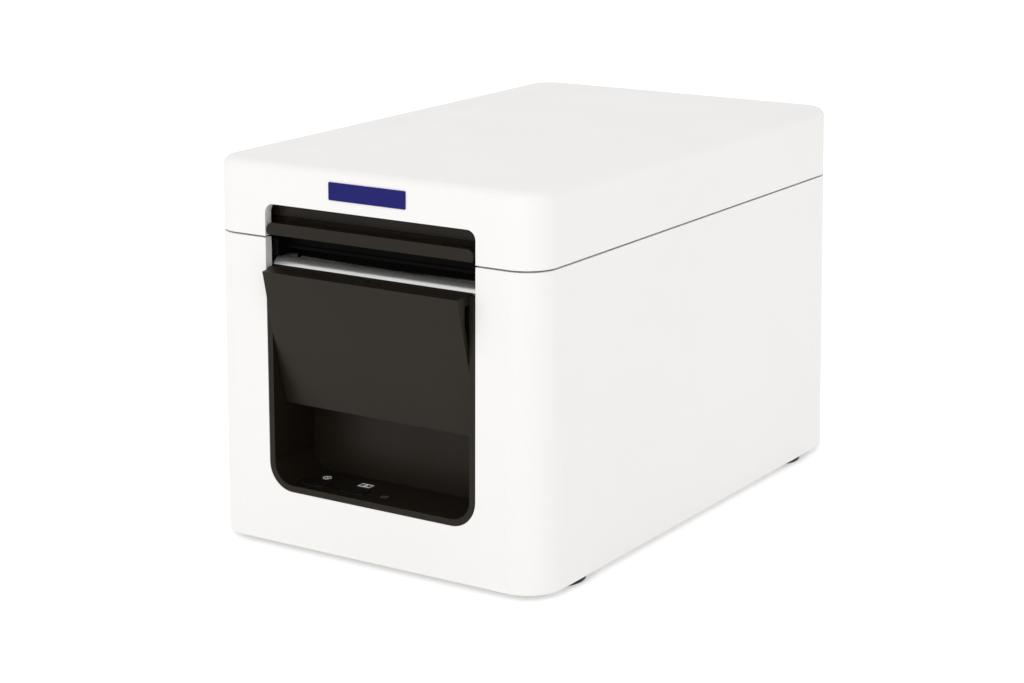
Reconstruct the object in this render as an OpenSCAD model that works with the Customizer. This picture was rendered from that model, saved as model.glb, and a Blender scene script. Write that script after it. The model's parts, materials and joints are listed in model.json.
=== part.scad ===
// Compact front-exit receipt printer for 58 mm paper rolls.
// Millimetres, +Z up, front face towards -Y, resting on its feet at z = 0.
// The origin is the centre of the bounding box's base.

/* [Casing] */
// Width of the casing at its bottom edge
case_w = 106; // [104:1:112]
// Depth of the casing at its bottom edge
case_d = 167; // [165:1:175]
// Height of the closed casing without its feet
case_h = 103.5; // [103:0.5:106]
// Amount that every side leans inwards from bottom to top
draft = 1.66; // [1.2:0.02:2]
// Plan radius of the upright corners at the bottom edge
corner_r = 10; // [9:0.5:12]
// Fillet along the top edges of the cover
top_r = 2.6; // [1.5:0.1:3]
// Wall thickness of the white shells
wall = 2.5; // [2:0.1:2.8]
// Height of the split line above the casing's bottom edge
split_h = 83.6; // [83:0.1:84]
// Width of the gap at the split line
split_gap = 0.5; // [0.4:0.1:1.2]
// Height of the rubber feet below the casing
foot_h = 1.8; // [1.5:0.1:2.5]
// Diameter of a rubber foot
foot_d = 17.5; // [14:0.5:18]

/* [Front opening] */
// Width of the opening in the front face
open_w = 66.4; // [66:0.1:67]
// Bottom edge of the opening, along the front face
open_bottom = 14.9; // [14:0.1:16]
// Top edge of the opening, along the front face
open_top = 92.6; // [92:0.1:93.5]
// Radius of the opening's lower corners
open_r_low = 7.5; // [6:0.5:8]
// Radius of the opening's upper corners
open_r_high = 2.6; // [2:0.1:4]
// Width of the bezel's visible rim
rim = 1.8; // [1.5:0.1:2.2]
// Depth of the finger recess behind the front face
recess_depth = 17.2; // [15:0.1:18]
// Gap round each piece that sits in another
fit_gap = 0.15; // [0.1:0.05:0.25]

/* [Paper path] */
// Inside width of the paper bucket
bucket_w = 60; // [59:0.5:60]
// Largest paper roll diameter
roll_d = 83; // [60:1:83]
// Diameter of the platen rubber
platen_d = 11; // [9:0.5:11]
// Length of the platen rubber
platen_len = 57; // [56:0.5:58]

/* [Gears] */
// Tooth size, pitch diameter divided by teeth
gear_module = 0.8; // [0.8:0.1:0.8]
// Teeth of the platen gear
platen_teeth = 20; // [20:1:20]
// Teeth of the idler gear
idler_teeth = 30; // [30:1:30]
// Teeth of the motor pinion and the cutter pinion
pinion_teeth = 12; // [12:1:12]

/* [Hidden] */
$fn = 64;
eps = 0.01;
lean = atan(draft / case_h);
split_z = foot_h + split_h;
top_z = foot_h + case_h;

// The flared lip of the chute stands in front of the casing, so the casing sits a little back.
lip_depth = -4.7;
lip_h = 75.5;
front_reach = -lip_depth - draft * lip_h / case_h;
case_y = front_reach / 2;

// Hinge of the top cover, rolled into the rear edge.
hinge_r = 3;
hinge_gap = 0.4;
hinge_pin_r = 1.2;
hinge_y = case_d / 2 - draft * split_h / case_h - hinge_r;
hinge_z = split_z;
hinge_half = 49.4;
roll_inset = 0.05;
knuckle_x = 30;
knuckle_w = 10;

// Print mechanism.
platen_y = -64.5;
platen_z = 86.1;
platen_shaft_r = 2.5;
mesh_slack = 0.1;
platen_pitch_r = gear_module * platen_teeth / 2;
idler_pitch_r = gear_module * idler_teeth / 2;
pinion_pitch_r = gear_module * pinion_teeth / 2;
idler_y = platen_y;
idler_z = platen_z - platen_pitch_r - idler_pitch_r - mesh_slack;
motor_dir = -50;
motor_reach = idler_pitch_r + pinion_pitch_r + mesh_slack;
motor_y = idler_y + motor_reach * cos(motor_dir);
motor_z = idler_z + motor_reach * sin(motor_dir);
motor_r = 10.5;
plate_in = 34.6;
plate_out = 35.8;
gear_in = 37.2;
gear_out = 41.2;

// Cutter.
tooth_pitch = PI * gear_module;
blade_front = -72.2;
blade_back = -71.3;
blade_top = 78.8;
blade_bottom = 46.5;
blade_half = 29.5;
rack_x = 24;
rack_w = 4;
rack_pitch_y = blade_back + 1.5;
cutter_y = rack_pitch_y + pinion_pitch_r + mesh_slack / 2;
cutter_z = 57;
cutter_motor_r = 5.5;

// Paper bucket.
roll_y = 28;
roll_z = 50.5;
bucket_r = roll_d / 2 + 2;
bucket_wall = 1.5;
deck_top = 81.5;

// Cover release lever, in front-face coordinates.
lever_pivot_d = 5.4;
lever_pivot_h = 96.3;
lever_half = 32.7;
lever_arm_x = 43;
arm_w = 2.6;
lever_tube_r = 1.6;

// Controls on the floor of the finger recess, in front-face coordinates.
floor_top = open_bottom + rim;
button_w = 8;
button_d = 5;
button_depth = 5.8;
power_x = -22.4;
feed_x = -9.4;
icon_depth = 11;
icon_t = 0.12;

// Boards.
board_t = 1.6;
board_x = 43;
io_board_z = 6.8;
rear_w = 76;
rear_low = 6.5;
rear_high = 25;

// ---------------------------------------------------------------- helpers

// Moves a piece from casing coordinates to the part's own frame.
module place() {
    translate([0, case_y, 0]) children();
}

// Coordinates on the leaning front face: x across, y inwards, z up along the face.
module on_front() {
    translate([0, -case_d / 2, foot_h]) rotate([-lean, 0, 0]) children();
}

// Extrudes an outline drawn in x and z along y.
module along_y(y0, y1) {
    translate([0, y1, 0]) rotate([90, 0, 0]) linear_extrude(height = y1 - y0) children();
}

// Extrudes an outline drawn in y and z along x.
module along_x(x0, x1) {
    translate([x0, 0, 0]) rotate([90, 0, 90]) linear_extrude(height = x1 - x0) children();
}

// Round bar along x at a given y and z.
module bar_x(r, x0, x1, y, z) {
    translate([x0, y, z]) rotate([0, 90, 0]) cylinder(h = x1 - x0, r = r);
}

module block(x0, x1, y0, y1, z0, z1) {
    translate([x0, y0, z0]) cube([x1 - x0, y1 - y0, z1 - z0]);
}

// Rectangle with separate radii for its lower and upper corners.
module soft_rect(x0, x1, z0, z1, r_low, r_high) {
    translate([x0, z0 + r_low]) square([x1 - x0, z1 - z0 - r_low - r_high]);
    translate([x0 + r_low, z0]) square([x1 - x0 - 2 * r_low, r_low + eps]);
    translate([x0 + r_high, z1 - r_high - eps]) square([x1 - x0 - 2 * r_high, r_high + eps]);
    for (x = [x0 + r_low, x1 - r_low]) translate([x, z0 + r_low]) circle(r_low);
    for (x = [x0 + r_high, x1 - r_high]) translate([x, z1 - r_high]) circle(r_high);
}

function inset(z) = draft * (z - foot_h) / case_h;

// Section of a leaning wall outwards from the core, with an optional fillet at the top.
module wall_profile(run, z0, z1, fillet) {
    arc_z = z1 - fillet;
    arc_x = run - inset(arc_z) - fillet / cos(lean);
    if (fillet > 0) {
        polygon([
            [0, z0],
            [run - inset(z0), z0],
            [arc_x + fillet * cos(lean), arc_z + fillet * sin(lean)],
            [arc_x, arc_z],
            [arc_x, z1],
            [0, z1]
        ]);
        translate([arc_x, arc_z]) circle(fillet);
    } else {
        polygon([[0, z0], [run - inset(z0), z0], [run - inset(z1), z1], [0, z1]]);
    }
}

// Box with leaning walls and round upright corners.
module leaning_box(w, d, r, z0, z1, fillet = 0) {
    core_x = w / 2 - r;
    core_y = d / 2 - r;
    block(-core_x, core_x, -core_y, core_y, z0, z1);
    for (i = [0:3]) {
        half = i % 2 == 0 ? core_x : core_y;
        run = i % 2 == 0 ? 2 * core_y : 2 * core_x;
        rotate([0, 0, 90 * i]) translate([half, 0, 0]) rotate([90, 0, 0])
            linear_extrude(height = run, center = true) wall_profile(r, z0, z1, fillet);
    }
    for (i = [0:3]) {
        side_x = i == 0 || i == 3 ? core_x : -core_x;
        side_y = i < 2 ? core_y : -core_y;
        translate([side_x, side_y, 0]) rotate([0, 0, 90 * i])
            rotate_extrude(angle = 90) wall_profile(r, z0, z1, fillet);
    }
}

// Leaning box that stays a given distance inside the casing's outer face.
module inside_case(offset_in, z0, z1, fillet = 0) {
    leaning_box(case_w - 2 * offset_in, case_d - 2 * offset_in, corner_r - offset_in,
        z0, z1, fillet);
}

module front_outline(grow) {
    half = open_w / 2 + grow;
    soft_rect(-half, half, open_bottom - grow, open_top + grow,
        open_r_low + grow, open_r_high + grow);
}

// Gear outline with narrow straight-sided teeth, centred on the origin.
module gear_outline(teeth, phase) {
    pitch_r = gear_module * teeth / 2;
    root_r = pitch_r - 0.95 * gear_module;
    tip_r = pitch_r + 0.75 * gear_module;
    root_half = 0.9 * gear_module;
    tip_half = 0.38 * gear_module;
    circle(root_r);
    for (i = [0:teeth - 1]) rotate(phase + i * 360 / teeth)
        polygon([
            [root_r - 0.3, -root_half],
            [tip_r, -tip_half],
            [tip_r, tip_half],
            [root_r - 0.3, root_half]
        ]);
}

module gear(teeth, phase, x0, x1, y, z, bore_r) {
    translate([0, y, z]) along_x(x0, x1) difference() {
        gear_outline(teeth, phase);
        circle(bore_r);
    }
}

// Pan-head screw along +z with its head's underside at z = 0.
module screw(r, length, head_r, head_h) {
    difference() {
        translate([0, 0, -head_h]) cylinder(h = head_h, r = head_r);
        for (a = [0, 90]) rotate([0, 0, a])
            block(-head_r * 0.6, head_r * 0.6, -0.3, 0.3, -head_h - eps, -head_h * 0.4);
    }
    cylinder(h = length, r = r);
}

// ---------------------------------------------------------------- base shells

foot_x = case_w / 2 - foot_d / 2 - 1.2;
foot_y = 62;
boss_x = 42.5;
boss_y = 75;
boss_h = 16;
cover_t = 2.5;
stud_y = -69.5;
stud_z = 79;

module base_casing() {
    base_top = split_z - split_gap / 2;
    knuckle_low = hinge_z - 9;
    color("whitesmoke") place() {
        difference() {
            inside_case(0, foot_h, base_top);
            inside_case(wall, foot_h - 1, base_top + 1);
            on_front() along_y(-1, wall + 2.5) front_outline(0);
            // Rear window for the connector panel.
            along_y(case_d / 2 - 8, case_d / 2 + 2)
                soft_rect(-rear_w / 2, rear_w / 2, rear_low, rear_high, 2, 2);
            // Relief for the rolled rear edge of the cover.
            bar_x(hinge_r + hinge_gap, -hinge_half - 0.4, hinge_half + 0.4, hinge_y, hinge_z);
            block(-hinge_half - 0.4, hinge_half + 0.4, hinge_y, case_d,
                hinge_z - hinge_r - hinge_gap, base_top + 1);
        }
        // Hinge knuckles that stand up into the cover.
        for (s = [-1, 1]) difference() {
            x0 = s * knuckle_x - knuckle_w / 2;
            union() {
                bar_x(hinge_r, x0, x0 + knuckle_w, hinge_y, hinge_z);
                block(x0, x0 + knuckle_w, hinge_y - hinge_r, hinge_y, knuckle_low, hinge_z);
                block(x0, x0 + knuckle_w, hinge_y - hinge_r, case_d / 2 - wall,
                    knuckle_low, hinge_z - hinge_r - hinge_gap - 0.6);
            }
            bar_x(hinge_pin_r + 0.05, x0 - 1, x0 + knuckle_w + 1, hinge_y, hinge_z);
        }
        // Screw bosses for the bottom cover, each on a rib from the side wall.
        for (sx = [-1, 1], sy = [-1, 1]) difference() {
            union() {
                translate([sx * boss_x, sy * boss_y, foot_h + cover_t])
                    cylinder(h = boss_h, r = 3.3);
                translate([sx * (boss_x + 4.5), sy * boss_y, foot_h + cover_t + boss_h / 2])
                    cube([9, 1.6, boss_h], center = true);
            }
            translate([sx * boss_x, sy * boss_y, foot_h]) cylinder(h = boss_h, r = 1.3);
        }
        // Latch studs for the release lever's hooks.
        for (s = [-1, 1])
            bar_x(1.5, min(s * 42.8, s * 49.8), max(s * 42.8, s * 49.8), stud_y, stud_z);
        // Posts that carry the main board on the right wall.
        for (y = [-50, 44], z = [16, 64]) difference() {
            bar_x(3, board_x + board_t, 51, y, z);
            bar_x(1.05, board_x, 48.4, y, z);
        }
    }
}

module bottom_cover() {
    color("gainsboro") place() difference() {
        union() {
            inside_case(wall + fit_gap, foot_h, foot_h + cover_t);
            // Pads under the frame's flanges and the interface board.
            for (s = [-1, 1], y = frame_foot_y)
                translate([s * frame_foot_x, y, foot_h + cover_t - eps]) cylinder(h = 1.3, r = 4);
            for (x = [-34, 34], y = [53, 73])
                translate([x, y, foot_h + cover_t - eps]) cylinder(
                    h = io_board_z - foot_h - cover_t + eps, r = 2.6);
        }
        for (sx = [-1, 1], sy = [-1, 1]) {
            translate([sx * boss_x, sy * boss_y, 0]) cylinder(h = 9, r = 1.7);
            translate([sx * boss_x, sy * boss_y, 0]) cylinder(h = foot_h + 1.3, r = 3.1);
        }
        for (s = [-1, 1], y = frame_foot_y)
            translate([s * frame_foot_x, y, foot_h + 0.8]) cylinder(h = 9, r = 1.05);
        for (x = [-34, 34], y = [53, 73])
            translate([x, y, foot_h + 0.8]) cylinder(h = 9, r = 0.85);
        // Vent slots.
        for (i = [-4:4]) block(i * 5 - 0.9, i * 5 + 0.9, -8, 30, 0, 9);
    }
}

module rubber_feet() {
    color([0.12, 0.12, 0.12]) place() for (sx = [-1, 1], sy = [-1, 1])
        translate([sx * foot_x, sy * foot_y, 0]) cylinder(h = foot_h, r = foot_d / 2);
}

module bottom_screws() {
    color("silver") place() for (sx = [-1, 1], sy = [-1, 1])
        translate([sx * boss_x, sy * boss_y, foot_h + 1.3]) screw(1.3, 10, 2.7, 1.2);
}

// ---------------------------------------------------------------- front pieces

bezel_half = open_w / 2 - fit_gap;
bezel_in = open_w / 2 - rim;
bezel_top = 75.9;
bezel_top_r = 1.3;
recess_top = 42;
bezel_back = recess_depth + 2;

module bezel_outline(inside) {
    half = inside ? bezel_in : bezel_half;
    low = inside ? floor_top : open_bottom + fit_gap;
    r_low = inside ? open_r_low - rim : open_r_low - fit_gap;
    soft_rect(-half, half, low, bezel_top, r_low, inside ? eps * 2 : bezel_top_r);
}

module front_bezel() {
    color([0.2, 0.18, 0.17]) place() on_front() {
        difference() {
            along_y(0, bezel_back) bezel_outline(false);
            along_y(-1, recess_depth) bezel_outline(true);
            // The side walls above the recess reach back only as far as the chute does.
            block(-60, 60, 9.4, bezel_back + 1, recess_top, bezel_top + 1);
            along_y(-2, bezel_back + 2) translate([0, bezel_top]) square([70, 0.2], center = true);
            for (x = [power_x, feed_x])
                translate([x, button_depth, open_bottom - 1]) linear_extrude(height = 4)
                    button_outline(0.22);
            translate([lens_x, button_depth, open_bottom - 1]) cylinder(h = 4, r = lens_r + 0.1);
        }
        // Posts for the button board.
        for (x = board_post_x) difference() {
            translate([x, 12.5, switch_board_h + board_t])
                cylinder(h = open_bottom + 0.4 - switch_board_h - board_t, r = 2.2);
            translate([x, 12.5, switch_board_h]) cylinder(h = 5.5, r = 0.85);
        }
    }
}

switch_board_h = 8.4;
board_post_x = [-29, 2];
lens_x = 0.5;
lens_r = 1.1;

module button_outline(grow) {
    half_w = button_w / 2 + grow;
    half_d = button_d / 2 + grow;
    soft_rect(-half_w, half_w, -half_d, half_d, 1.2 + grow, 1.2 + grow);
}

// Key with a retaining flange and a stem that reaches its switch.
module control_button(x) {
    color([0.14, 0.13, 0.12]) place() on_front() translate([x, button_depth, 0]) {
        translate([0, 0, open_bottom - 0.4])
            linear_extrude(height = floor_top + 0.2 - open_bottom + 0.4) button_outline(0);
        translate([0, 0, open_bottom - 1.1]) linear_extrude(height = 0.8) button_outline(0.7);
        translate([0, 0, 12.65]) cylinder(h = open_bottom - 1.1 - 12.65 + eps, r = 1.2);
    }
}

module power_button() {
    control_button(power_x);
}

module feed_button() {
    control_button(feed_x);
}

module button_board() {
    color("seagreen") place() on_front() difference() {
        block(-32, 5, 3.4, 16, switch_board_h, switch_board_h + board_t);
        for (x = board_post_x)
            translate([x, 12.5, 0]) cylinder(h = 20, r = 1.1);
    }
}

module button_switches() {
    color("dimgray") place() on_front() for (x = [power_x, feed_x]) {
        block(x - 2.2, x + 2.2, button_depth - 2.2, button_depth + 2.2,
            switch_board_h + board_t, switch_board_h + board_t + 1.4);
        translate([x, button_depth, switch_board_h + board_t + 1.4 - eps])
            cylinder(h = 0.45, r = 1);
    }
}

module status_lens() {
    color([0.3, 0.3, 0.32]) place() on_front()
        translate([lens_x, button_depth, switch_board_h + board_t])
            cylinder(h = floor_top - switch_board_h - board_t, r = lens_r);
}

// Generic pictograms behind the keys: a power mark and a sheet with a feed arrow.
module panel_icons() {
    color("white") place() on_front() {
        translate([power_x, icon_depth, floor_top]) linear_extrude(height = icon_t) {
            difference() {
                circle(1.25);
                circle(0.9);
                translate([-0.45, 0]) square([0.9, 2]);
            }
            translate([-0.17, 0.1]) square([0.34, 1.5]);
        }
        translate([feed_x, icon_depth, floor_top]) linear_extrude(height = icon_t) {
            difference() {
                translate([-1.9, -1.2]) square([3.8, 2.4]);
                translate([-1.6, -0.9]) square([3.2, 1.8]);
            }
            translate([0, -0.1]) polygon([[-0.75, 0], [0, -0.75], [0.75, 0]]);
            translate([-0.16, -0.15]) square([0.32, 0.8]);
        }
    }
}

chute_half = 31.2;
chute_lip_half = 30.75;
chute_t = 2;
chute_back = 9.2;
chute_low = 38;
chute_low_d = 5;
ledge_d = 2.2;
ledge_h = 76.2;
face_slope = (lip_depth - chute_low_d) / (lip_h - chute_low);
face_run = chute_t / cos(atan(face_slope));

// Depth of the chute's straight face at a given height.
function face_d(h) = chute_low_d + face_slope * (h - chute_low);

module chute_profile() {
    polygon([
        [chute_low_d, chute_low],
        [chute_back, chute_low],
        [chute_back, lip_h - chute_t],
        [ledge_d, lip_h - chute_t],
        [ledge_d, ledge_h],
        [lip_depth, lip_h]
    ]);
}

module chute_hollow() {
    low = chute_low + chute_t;
    high = lip_h - chute_t;
    polygon([
        [face_d(low) + face_run, low],
        [chute_back + 1, low],
        [chute_back + 1, high - chute_t],
        [ledge_d - 1.2, high - chute_t],
        [ledge_d - 1.2, high],
        [face_d(high) + face_run, high]
    ]);
}

// Plan outline of the chute: its sides draw in a little towards the lip.
module chute_plan() {
    polygon([
        [-chute_half, recess_depth],
        [-chute_half, 0],
        [-chute_lip_half, lip_depth - eps],
        [chute_lip_half, lip_depth - eps],
        [chute_half, 0],
        [chute_half, recess_depth]
    ]);
}

// Side window behind the flared plate, where the plate stands clear of the casing.
module chute_window() {
    polygon([
        [-1.5, lip_h - chute_t - 0.1],
        [-1.5, 68.5],
        [0.8, 59.2],
        [1.5, 59.2],
        [1.5, lip_h - chute_t - 0.1]
    ]);
}

module chute_panel() {
    color([0.19, 0.175, 0.165]) place() on_front() {
        difference() {
            intersection() {
                along_x(-chute_half - 1, chute_half + 1) chute_profile();
                translate([0, 0, chute_low - 1])
                    linear_extrude(height = ledge_h - chute_low + 2) chute_plan();
            }
            along_x(-chute_half + chute_t, chute_half - chute_t) chute_hollow();
            along_x(-chute_half - 1, chute_half + 1) chute_window();
        }
        // Ceiling of the finger recess.
        block(-chute_half, chute_half, chute_back - eps, recess_depth - 0.1,
            chute_low, chute_low + chute_t);
        // Moulded centre mark on the ledge.
        block(-0.25, 0.25, -1.6, 0.8, ledge_h - 0.9, ledge_h - 0.05);
    }
}

guide_r = 3.1;
guide_d = 5.6;
guide_h = 74.8;
guide_t = 0.9;

// Polished steel edge that the paper leaves over.
module guide_profile() {
    leg_low = lip_h - chute_t + 0.4;
    difference() {
        union() {
            translate([guide_d, guide_h]) circle(guide_r);
            translate([guide_d, guide_h]) square([0.6, guide_r]);
            translate([guide_d - guide_r, leg_low]) square([guide_r, guide_h - leg_low]);
        }
        translate([guide_d, guide_h]) circle(guide_r - guide_t);
        translate([guide_d - guide_r + guide_t, guide_h - 10]) square([2 * guide_r, 10]);
        translate([guide_d, guide_h - eps]) square([5, guide_r - guide_t + eps]);
        translate([0, leg_low - 5]) square([20, 5]);
    }
}

module exit_guide() {
    half = 32.9;
    tab_in = 30.2;
    color("lightsteelblue") place() on_front() {
        difference() {
            along_x(-half, half) guide_profile();
            // Notches that sit over the bezel's side walls.
            for (s = [-1, 1]) translate([s * 35, 0, bezel_top - 5])
                cube([2 * (35 - bezel_in + 0.3), 20, 10.2], center = true);
        }
        // Tabs back to the cutter's channels.
        for (s = [-1, 1]) block(min(s * tab_in, s * half), max(s * tab_in, s * half),
            guide_d + 0.6 - eps, 9.75, guide_h + guide_r - guide_t, guide_h + guide_r);
    }
}

// ---------------------------------------------------------------- print mechanism

cable_t = 0.4;
cable_y = -55.2;
cable_low = 66;
frame_foot_x = 40;
frame_foot_y = [-54, -30];
frame_low = 5.6;
spring_x = 18;
spring_low = 65.2;
spring_high = 70.5;
head_top = platen_z - platen_d / 2 - 0.08;
head_front = -68.6;
head_rear = -56;
rod_y = -57.5;
rod_z = 73;

// Two side plates with bent feet, joined by cross bars.
module print_frame() {
    color("lightgray") place() {
        for (s = [-1, 1]) {
            x0 = s > 0 ? plate_in : -plate_out;
            difference() {
                along_x(x0, x0 + plate_out - plate_in) difference() {
                    polygon([
                        [-60, frame_low],
                        [-24, frame_low],
                        [-24, 66],
                        [-38, 79],
                        [-52, 79],
                        [-56, 88],
                        [-70.8, 88],
                        [-70.8, 46],
                        [-60, 46]
                    ]);
                    translate([platen_y, platen_z]) circle(4.3);
                    translate([platen_y - 4.3, platen_z]) square([8.6, 9]);
                }
                if (s < 0) {
                    bar_x(6, -60, 0, motor_y, motor_z);
                    bar_x(2.05, -60, 0, idler_y, idler_z);
                }
                bar_x(2.05, -60, 60, rod_y, rod_z);
                // Slot for the head cable.
                if (s > 0) block(30, 40, cable_y - 0.8, cable_y + cable_t + 0.8,
                    cable_low - 0.6, cable_low + 2.6);
            }
            difference() {
                block(min(s * plate_in, s * 45), max(s * plate_in, s * 45), -60, -24,
                    frame_low, frame_low + 1.2);
                for (y = frame_foot_y)
                    translate([s * frame_foot_x, y, 0]) cylinder(h = 9, r = 1.6);
            }
        }
        // Spring rail, rear tie and lower tie.
        block(-plate_in, plate_in, -66, -57, spring_low - 1.2, spring_low);
        block(-plate_in, plate_in, -28, -26.8, 50, 64);
        block(-plate_in, plate_in, -60, -58.8, 8, 30);
    }
}

module frame_screws() {
    color("silver") place() for (s = [-1, 1], y = frame_foot_y)
        translate([s * frame_foot_x, y, frame_low + 1.2]) mirror([0, 0, 1])
            screw(1.0, 4.2, 2.4, 1.4);
}

module thermal_head() {
    color("tan") place() {
        block(-32, 32, head_front, head_rear, head_top - 1.4, head_top - 0.25);
        block(-29, 29, platen_y - 1.2, platen_y + 1.2, head_top - 0.3, head_top);
    }
}

module heat_sink() {
    fin_low = spring_high;
    sink_top = head_top - 1.4;
    color("silver") place() difference() {
        block(-32.5, 32.5, head_front, head_rear, fin_low, sink_top);
        for (i = [-2:2]) block(i * 13 - 3.4, i * 13 + 3.4, head_front - 1, rod_y - 4,
            fin_low + 2, sink_top - 3);
        bar_x(2.05, -40, 40, rod_y, rod_z);
        for (s = [-1, 1]) translate([s * spring_x, -63.5, fin_low - 1])
            cylinder(h = 2, r = 2.4);
    }
}

module head_rod() {
    color("silver") place() bar_x(2, -37, 37, rod_y, rod_z);
}

// Two compression springs drawn as stacked coils round a common bore.
module head_springs() {
    coils = 5;
    wire_r = 0.4;
    rise = (spring_high + 1 - spring_low - 2 * wire_r) / (coils - 1);
    color("gray") place() for (s = [-1, 1]) translate([s * spring_x, -63.5, spring_low]) {
        for (i = [0:coils - 1]) translate([0, 0, wire_r + i * rise])
            rotate_extrude() translate([1.8, 0]) circle(wire_r, $fn = 16);
        difference() {
            cylinder(h = spring_high + 1 - spring_low, r = 1.75);
            translate([0, 0, -1]) cylinder(h = 12, r = 1.45);
        }
    }
}

module feed_motor() {
    color("dimgray") place() difference() {
        union() {
            bar_x(motor_r, -plate_in + 1.2, -14, motor_y, motor_z);
            // Flange plate against the frame.
            along_x(-plate_in, -plate_in + 1.2) translate([motor_y, motor_z]) {
                circle(motor_r);
                for (a = [60, 240]) rotate(a) translate([motor_r + 1.5, 0]) circle(3.2);
                for (a = [60, 240]) rotate(a) translate([motor_r - 3, -3.2])
                    square([4.5, 6.4]);
            }
            bar_x(4.5, -plate_out, -plate_in + eps, motor_y, motor_z);
        }
        bar_x(1.55, -50, -20, motor_y, motor_z);
    }
}

module motor_pinion() {
    color("ivory") place() {
        gear(pinion_teeth, mesh_phase_pinion, -gear_out, -gear_in, motor_y, motor_z, 1);
        bar_x(1.5, -gear_out - 0.6, -21, motor_y, motor_z);
    }
}

// Tooth phases, so that a tooth of one gear faces a gap of the next.
mesh_phase_platen = -90;
mesh_phase_idler = 90 + 180 / idler_teeth;
mesh_idler_at_motor = (motor_dir - mesh_phase_idler) / (360 / idler_teeth);
mesh_offset = mesh_idler_at_motor - floor(mesh_idler_at_motor);
mesh_phase_pinion = motor_dir + 180 + (mesh_offset - 0.5) * 360 / pinion_teeth;

module idler_gear() {
    color("ivory") place() difference() {
        gear(idler_teeth, mesh_phase_idler, -gear_out, -gear_in, idler_y, idler_z, 2.06);
        for (i = [0:5]) translate([0, idler_y, idler_z]) rotate([60 * i, 0, 0])
            bar_x(1.9, -50, -30, 0, 7);
    }
}

module idler_pin() {
    color("silver") place() {
        bar_x(2, -gear_out - 0.6, -plate_in, idler_y, idler_z);
        bar_x(3.2, -gear_out - 1.4, -gear_out - 0.4, idler_y, idler_z);
        bar_x(3.2, -gear_in + 0.3, -plate_out, idler_y, idler_z);
    }
}

cutter_plate_front = blade_back + 0.2;
cutter_plate_back = cutter_plate_front + 1.2;
cutter_plate_top = 80.25;
cheek_front = -79;
cheek_top = 84.6;

// Backing plate and side channels that guide the moving blade.
module cutter_frame() {
    color([0.1, 0.1, 0.1]) place() {
        difference() {
            block(-34.4, 34.4, cutter_plate_front, cutter_plate_back, 47, cutter_plate_top);
            block(-8, rack_x + rack_w + 1.6, -80, -60, 40, 74);
        }
        for (s = [-1, 1]) {
            // Channel beside the blade.
            block(min(s * 30, s * 34.4), max(s * 30, s * 34.4),
                blade_front - 0.1, cutter_plate_front + eps, 47, 78.7);
            // Cheek that closes the end of the paper exit.
            block(min(s * 33.1, s * 34.4), max(s * 33.1, s * 34.4),
                cheek_front, blade_front, 70, cheek_top);
            block(min(s * 31.5, s * 34.4), max(s * 31.5, s * 34.4),
                cheek_front, blade_front - 0.5, 80.1, cheek_top);
        }
        // Bearing block beside the pinion.
        difference() {
            block(rack_x + rack_w + 1.6 - eps, 34.4, cutter_plate_front, cutter_y + 4,
                cutter_z - 5, cutter_z + 5);
            bar_x(1.55, 20, 40, cutter_y, cutter_z);
        }
    }
}

rack_low = blade_bottom;
rack_high = cutter_z + 2 * tooth_pitch;
rack_first = cutter_z - tooth_pitch * 3.5;

module cutter_blade() {
    color("lightsteelblue") place() {
        // Plate with a shallow V cutting edge.
        along_y(blade_front, blade_back) polygon([
            [-blade_half, blade_bottom],
            [blade_half, blade_bottom],
            [blade_half, blade_top],
            [0, blade_top - 0.5],
            [-blade_half, blade_top]
        ]);
        // Rack that faces the pinion.
        along_x(rack_x, rack_x + rack_w) {
            translate([blade_back - eps, rack_low])
                square([rack_pitch_y - 0.95 * gear_module - blade_back + eps,
                    rack_high - rack_low]);
            for (i = [0:5]) translate([rack_pitch_y, rack_first + i * tooth_pitch])
                polygon([
                    [-0.95 * gear_module - 0.2, -0.8 * gear_module],
                    [0.75 * gear_module, -0.36 * gear_module],
                    [0.75 * gear_module, 0.36 * gear_module],
                    [-0.95 * gear_module - 0.2, 0.8 * gear_module]
                ]);
        }
    }
}

module cutter_motor() {
    color("dimgray") place() difference() {
        union() {
            bar_x(cutter_motor_r, 0, 20, cutter_y, cutter_z);
            block(-2, 0, cutter_y - 4, cutter_y + 4, cutter_z - 4, cutter_z + 4);
            // Foot that hangs the motor from the spring rail.
            block(2, 18, cutter_y - 2, cutter_y + 3, cutter_z, spring_low - 1.2);
        }
        bar_x(1.55, 4, 30, cutter_y, cutter_z);
    }
}

module cutter_pinion() {
    color("ivory") place() {
        gear(pinion_teeth, 180, rack_x + 0.2, rack_x + rack_w - 0.2, cutter_y, cutter_z, 1);
        bar_x(1.5, 5, 33, cutter_y, cutter_z);
    }
}

// ---------------------------------------------------------------- paper parts

// Tub for the roll, with a deck round its mouth.
module paper_bucket() {
    half = bucket_w / 2;
    outer_half = half + bucket_wall;
    outer_r = bucket_r + bucket_wall;
    color([0.16, 0.16, 0.16]) place() difference() {
        union() {
            bar_x(outer_r, -outer_half, outer_half, roll_y, roll_z);
            block(-outer_half, outer_half, roll_y - outer_r, roll_y + outer_r,
                roll_z, deck_top);
            block(-48.4, 48.4, roll_y - outer_r - 4, 74, deck_top - 1.5, deck_top);
            // Legs that stand on the bottom cover.
            for (s = [-1, 1]) block(s * 27 - 2, s * 27 + 2, roll_y - 20, roll_y + 18,
                foot_h + cover_t, 12);
        }
        bar_x(bucket_r, -half, half, roll_y, roll_z);
        block(-half, half, roll_y - bucket_r, roll_y + bucket_r, roll_z, top_z);
        block(-60, 60, roll_y - outer_r - 5, roll_y + outer_r + 5, deck_top, top_z);
    }
}

guide_low = 76;
sensor_x = 10;

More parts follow.
